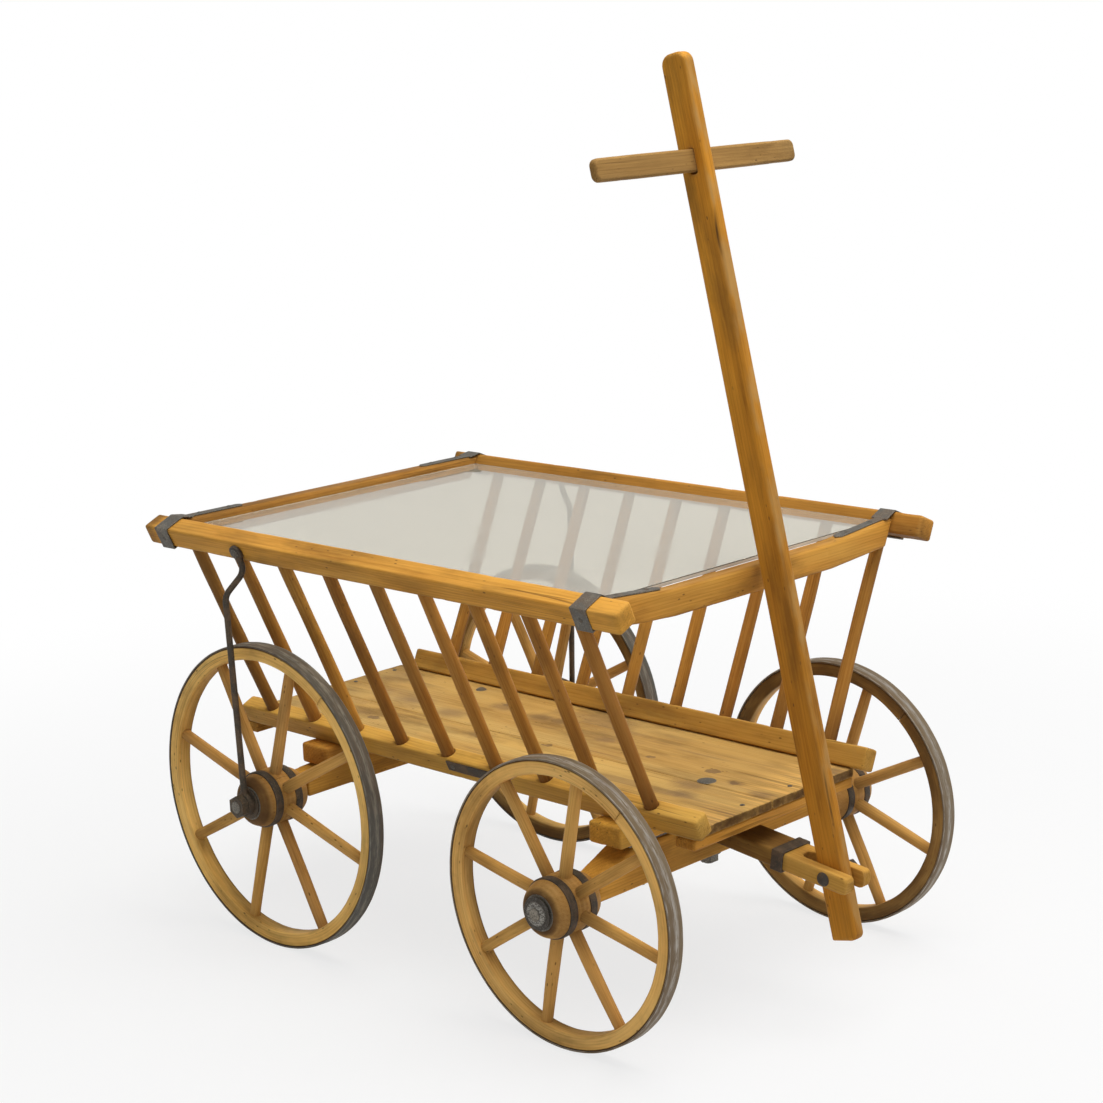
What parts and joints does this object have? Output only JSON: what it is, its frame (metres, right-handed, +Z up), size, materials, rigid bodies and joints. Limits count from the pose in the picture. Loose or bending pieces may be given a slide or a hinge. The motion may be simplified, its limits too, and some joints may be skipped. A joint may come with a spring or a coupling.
{
  "type": "hand wagon cart table",
  "caption": "Wooden hand wagon on spoked iron-tyred wheels, with leaning spindle sides, a plank bed, a steered front axle, a pull pole with a cross handle and a glass table top.",
  "frame": {"origin": "middle of the overall box, on the floor", "axes": "+Z up; -Y forwards, to the pole; +X to the right as seen by someone who faces the cart's front"},
  "size_m": [0.7346, 1.0805, 1.2868],
  "materials": {
    "rail_wood": "aged honey varnish",
    "turned_wood": "aged reddish varnish",
    "bed_wood": "worn and stained",
    "forged_iron": "dark, rubbed",
    "tyre_iron": "worn bare, taupe",
    "worn_steel": "worn",
    "clear_glass": "polished"
  },
  "bodies": {
    "cart": {"bed_battens": "bed_wood", "bed_bolts": "forged_iron", "corner_straps": "forged_iron", "front_bolster": "rail_wood", "front_end_rail": "rail_wood", "glass_top": "clear_glass", "kingbolt": "forged_iron", "left_bed_plank": "bed_wood", "left_bottom_rail": "rail_wood", "left_spindles": "turned_wood", "left_top_rail": "rail_wood", "nails": "forged_iron", "rear_axle": "forged_iron", "rear_axle_beam": "rail_wood", "rear_axle_nuts": "forged_iron", "rear_bolster": "rail_wood", "rear_end_rail": "rail_wood", "rear_stays": "forged_iron", "right_bed_plank": "bed_wood", "right_bottom_rail": "rail_wood", "right_spindles": "turned_wood", "right_top_rail": "rail_wood", "rub_plates": "forged_iron", "stay_bolts": "forged_iron", "upper_wear_plate": "forged_iron"},
    "front_gear": {"fork_bolt": "forged_iron", "front_axle": "forged_iron", "front_axle_beam": "rail_wood", "front_axle_bolts": "forged_iron", "front_axle_nuts": "worn_steel", "lower_wear_plate": "forged_iron", "tongue": "rail_wood", "tongue_band": "forged_iron"},
    "pole": {"crossbar": "rail_wood", "pole": "rail_wood"},
    "front_left_wheel": {"front_left_felloe": "rail_wood", "front_left_hub": "rail_wood", "front_left_hub_bands": "forged_iron", "front_left_hub_bush": "forged_iron", "front_left_spokes": "turned_wood", "front_left_tyre": "tyre_iron"},
    "front_right_wheel": {"front_right_felloe": "rail_wood", "front_right_hub": "rail_wood", "front_right_hub_bands": "forged_iron", "front_right_hub_bush": "forged_iron", "front_right_spokes": "turned_wood", "front_right_tyre": "tyre_iron"},
    "rear_left_wheel": {"rear_left_felloe": "rail_wood", "rear_left_hub": "rail_wood", "rear_left_hub_bands": "forged_iron", "rear_left_hub_bush": "forged_iron", "rear_left_spokes": "turned_wood", "rear_left_tyre": "tyre_iron"},
    "rear_right_wheel": {"rear_right_felloe": "rail_wood", "rear_right_hub": "rail_wood", "rear_right_hub_bands": "forged_iron", "rear_right_hub_bush": "forged_iron", "rear_right_spokes": "turned_wood", "rear_right_tyre": "tyre_iron"}
  },
  "joints": [
    {"name": "steering", "type": "hinge", "parent": "cart", "child": "front_gear", "pos_m": [0, -0.2818, 0.2521], "axis": [0, 0, 1], "range_deg": [-20, 20]},
    {"name": "pole_swing", "type": "hinge", "parent": "front_gear", "child": "pole", "pos_m": [0, -0.50473, 0.20613], "axis": [1, 0, 0], "range_deg": [0, 65]},
    {"name": "front_left_roll", "type": "hinge", "parent": "front_gear", "child": "front_left_wheel", "pos_m": [-0.298, -0.2818, 0.2], "axis": [1, 0, 0], "continuous": true},
    {"name": "front_right_roll", "type": "hinge", "parent": "front_gear", "child": "front_right_wheel", "pos_m": [0.298, -0.2818, 0.2], "axis": [1, 0, 0], "continuous": true},
    {"name": "rear_left_roll", "type": "hinge", "parent": "cart", "child": "rear_left_wheel", "pos_m": [-0.298, 0.3062, 0.23], "axis": [1, 0, 0], "continuous": true},
    {"name": "rear_right_roll", "type": "hinge", "parent": "cart", "child": "rear_right_wheel", "pos_m": [0.298, 0.3062, 0.23], "axis": [1, 0, 0], "continuous": true}
  ]
}
